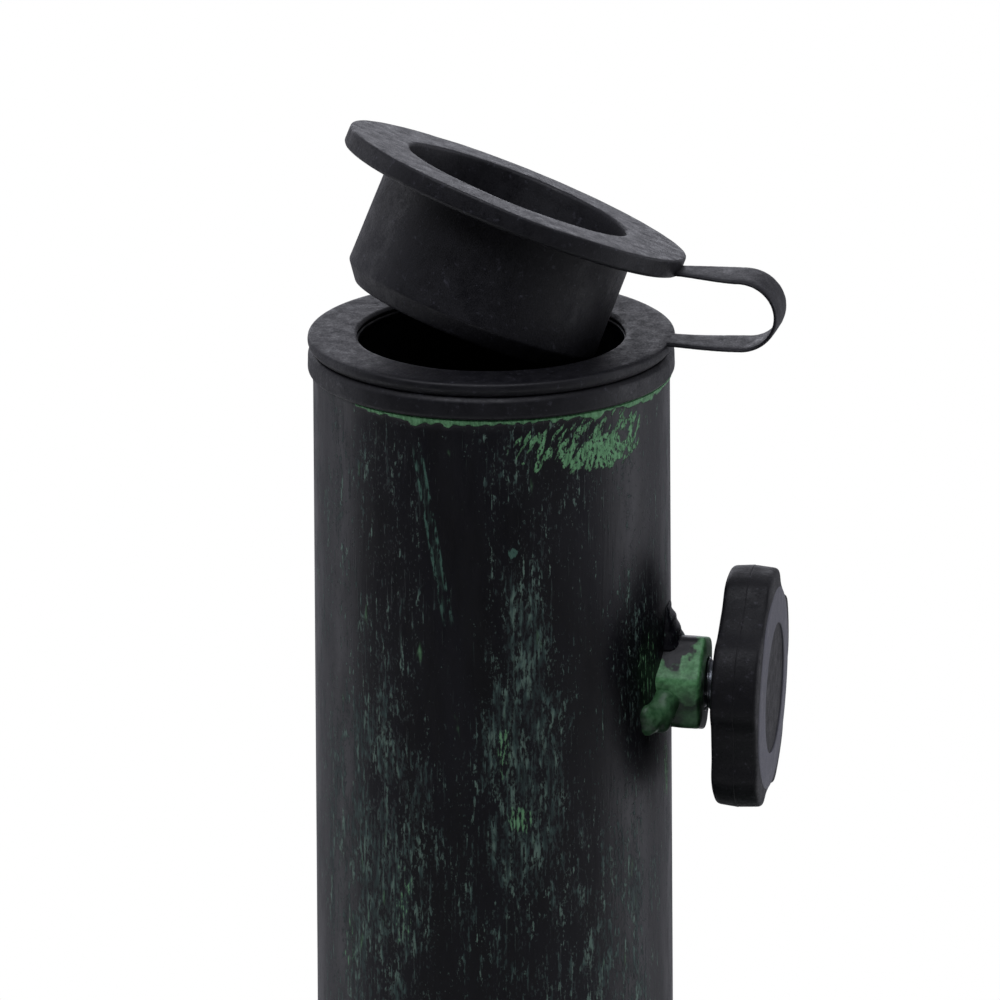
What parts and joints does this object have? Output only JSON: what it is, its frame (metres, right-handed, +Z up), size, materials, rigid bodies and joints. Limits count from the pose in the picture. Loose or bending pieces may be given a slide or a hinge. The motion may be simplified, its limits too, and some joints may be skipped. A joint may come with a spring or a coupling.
{
  "type": "patio umbrella base",
  "caption": "Round cast-iron patio umbrella base with a short steel tube, side clamp knob, pole reducer and tethered rain cap.",
  "frame": {"origin": "on the floor, under the tube's axis", "axes": "+Z up along the tube, +X towards the clamp knob and the cap's strap"},
  "size_m": [0.45, 0.45, 0.3624],
  "materials": {
    "cast_iron": "satin black antique paint brushed with green on the raised ornament",
    "tube_paint": "satin near-black paint with dry-brushed green streaks",
    "nut_paint": "green brushed paint over black",
    "bare_steel": "bare, oiled",
    "zinc_steel": "bright zinc plated",
    "black_plastic": "fine-grained matte black",
    "cap_rubber": "matte black soft plastic with a fine grain",
    "rubber": "matte black",
    "nylon": "natural nylon",
    "knob_plastic": "fine-grained matte black",
    "face_plastic": "smooth grey"
  },
  "bodies": {
    "base": {"base_casting": "cast_iron", "base_feet": "rubber", "tube": "tube_paint", "tube_foot_plate": "bare_steel", "base_bolt": "zinc_steel", "flat_washer": "zinc_steel", "spring_washer": "zinc_steel", "socket_seal": "rubber", "weld_nut": "nut_paint", "weld_bead_upper": "tube_paint", "weld_bead_lower": "nut_paint"},
    "collar": {"reducer_sleeve": "black_plastic", "tether_ring": "cap_rubber", "strap_lower": "cap_rubber"},
    "strap": {"strap_bend": "cap_rubber", "strap_upper": "cap_rubber"},
    "cap": {"rain_cap": "cap_rubber"},
    "pad": {"clamp_pad": "nylon"},
    "knob": {"clamp_stud": "zinc_steel", "knob_grip": "knob_plastic", "knob_face": "face_plastic"}
  },
  "joints": [
    {"name": "collar_lift", "type": "slide", "parent": "base", "child": "collar", "axis": [0, 0, 1], "range_m": [0, 0.06]},
    {"name": "cap_swing", "type": "hinge", "parent": "collar", "child": "strap", "pos_m": [0.04428, -0.00248, 0.3357], "axis": [0.0558, 0.9984, 0], "range_deg": [0, 165], "deforming": ["strap_bend", "strap_upper", "strap_lower"]},
    {"name": "cap_close", "type": "hinge", "parent": "strap", "child": "cap", "pos_m": [0.0411, 0.02222, 0.33149], "axis": [0.4756, -0.8796, 0], "range_deg": [0, 23.4], "deforming": ["tether_ring"]},
    {"name": "knob_feed", "type": "slide", "parent": "base", "child": "pad", "axis": [0.9995, 0, -0.0332], "range_m": [0, 0.0075]},
    {"name": "knob_turn", "type": "hinge", "parent": "pad", "child": "knob", "pos_m": [0.03498, 0, 0.27544], "axis": [0.9995, 0, -0.0332], "range_deg": [0, 2160]}
  ],
  "couplings": [
    {"joint": "knob_feed", "follows": "knob_turn", "m_per_rad": 0.00019894}
  ]
}
